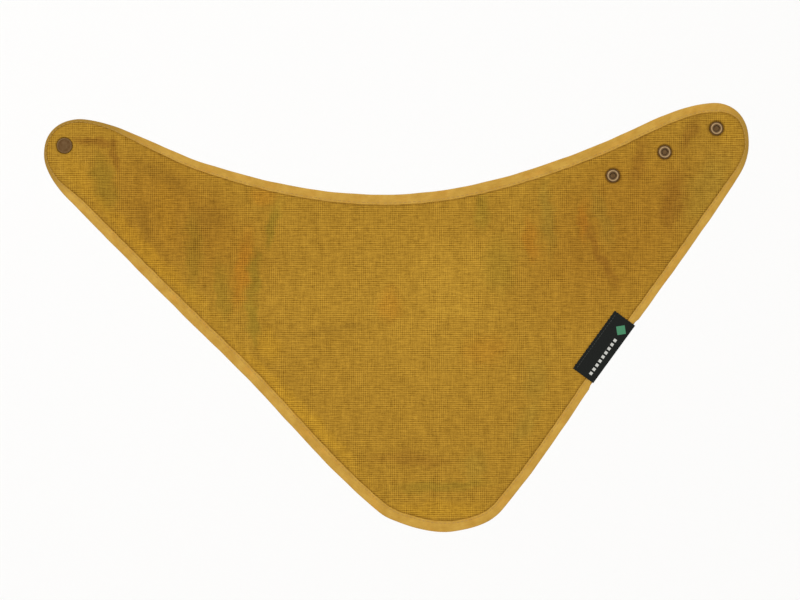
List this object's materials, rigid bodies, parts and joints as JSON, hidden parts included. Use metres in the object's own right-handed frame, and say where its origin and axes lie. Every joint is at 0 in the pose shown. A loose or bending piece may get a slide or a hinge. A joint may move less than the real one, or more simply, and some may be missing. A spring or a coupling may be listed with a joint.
{
  "type": "bandana bib",
  "caption": "Velour bandana bib with bound edge, folded label and press studs; both wings fold round the neck and snap together at the back.",
  "frame": {"origin": "centre of the bib's box in plan, at the table it lies on", "axes": "+X to the right wing with the sockets, +Y from the bottom point to the neckline, +Z out of the front face"},
  "size_m": [0.416, 0.2531, 0.0045],
  "materials": {
    "velour": "short brushed mustard pile",
    "backing_velour": "short mustard pile, a shade darker",
    "core_fabric": "unbleached cotton",
    "binding_cotton": "smooth matt woven tape",
    "seam_thread": "matt polyester thread",
    "antique_brass": "dull aged brass",
    "spring_wire": "bright drawn wire",
    "label_tape": "black woven ribbon",
    "label_thread": "black thread"
  },
  "bodies": {
    "root": {"absorbent_core_center": "core_fabric", "back_panel_center": "backing_velour", "binding_hem_center": "binding_cotton", "binding_neck_center": "binding_cotton", "bobbin_thread_hem_center": "seam_thread", "bobbin_thread_neck_center": "seam_thread", "front_panel_center": "velour", "needle_thread_hem_center": "seam_thread", "needle_thread_neck_center": "seam_thread"},
    "left_shoulder": {"absorbent_core_left_shoulder": "core_fabric", "back_panel_left_shoulder": "backing_velour", "binding_hem_left_shoulder": "binding_cotton", "binding_neck_left_shoulder": "binding_cotton", "bobbin_thread_hem_left_shoulder": "seam_thread", "bobbin_thread_neck_left_shoulder": "seam_thread", "front_panel_left_shoulder": "velour", "needle_thread_hem_left_shoulder": "seam_thread", "needle_thread_neck_left_shoulder": "seam_thread"},
    "left_tip": {"absorbent_core_left_tip": "core_fabric", "back_panel_left_tip": "backing_velour", "binding_left_tip": "binding_cotton", "bobbin_thread_left_tip": "seam_thread", "front_panel_left_tip": "velour", "needle_thread_left_tip": "seam_thread", "snap_cap_left_tip": "antique_brass", "snap_stud_left_tip": "antique_brass"},
    "right_shoulder": {"absorbent_core_right_shoulder": "core_fabric", "back_panel_right_shoulder": "backing_velour", "binding_hem_right_shoulder": "binding_cotton", "binding_neck_right_shoulder": "binding_cotton", "bobbin_thread_hem_right_shoulder": "seam_thread", "bobbin_thread_neck_right_shoulder": "seam_thread", "front_panel_right_shoulder": "velour", "label_thread": "label_thread", "needle_thread_hem_right_shoulder": "seam_thread", "needle_thread_neck_right_shoulder": "seam_thread", "woven_label": "label_tape"},
    "right_tip": {"absorbent_core_right_tip": "core_fabric", "back_panel_right_tip": "backing_velour", "binding_right_tip": "binding_cotton", "bobbin_thread_right_tip": "seam_thread", "front_panel_right_tip": "velour", "needle_thread_right_tip": "seam_thread", "snap_back_cap_inner": "antique_brass", "snap_back_cap_middle": "antique_brass", "snap_back_cap_outer": "antique_brass", "snap_socket_inner": "antique_brass", "snap_socket_middle": "antique_brass", "snap_socket_outer": "antique_brass", "snap_spring_inner": "spring_wire", "snap_spring_middle": "spring_wire", "snap_spring_outer": "spring_wire"}
  },
  "joints": [
    {"name": "left_shoulder_fold", "type": "hinge", "parent": "root", "child": "left_shoulder", "pos_m": [-0.06475, 0.09, 0], "axis": [-0.1023, -0.9948, 0], "range_deg": [-45, 88.77]},
    {"name": "left_tip_fold", "type": "hinge", "parent": "left_shoulder", "child": "left_tip", "pos_m": [-0.12675, 0.09, 0], "axis": [-0.4363, -0.8998, 0], "range_deg": [-45, 89.9]},
    {"name": "right_shoulder_fold", "type": "hinge", "parent": "root", "child": "right_shoulder", "pos_m": [0.044, 0.09, 0], "axis": [-0.1392, 0.9903, 0], "range_deg": [-45, 88.77]},
    {"name": "right_tip_fold", "type": "hinge", "parent": "right_shoulder", "child": "right_tip", "pos_m": [0.104, 0.09, 0], "axis": [-0.4695, 0.8829, 0], "range_deg": [-45, 88.77]}
  ]
}
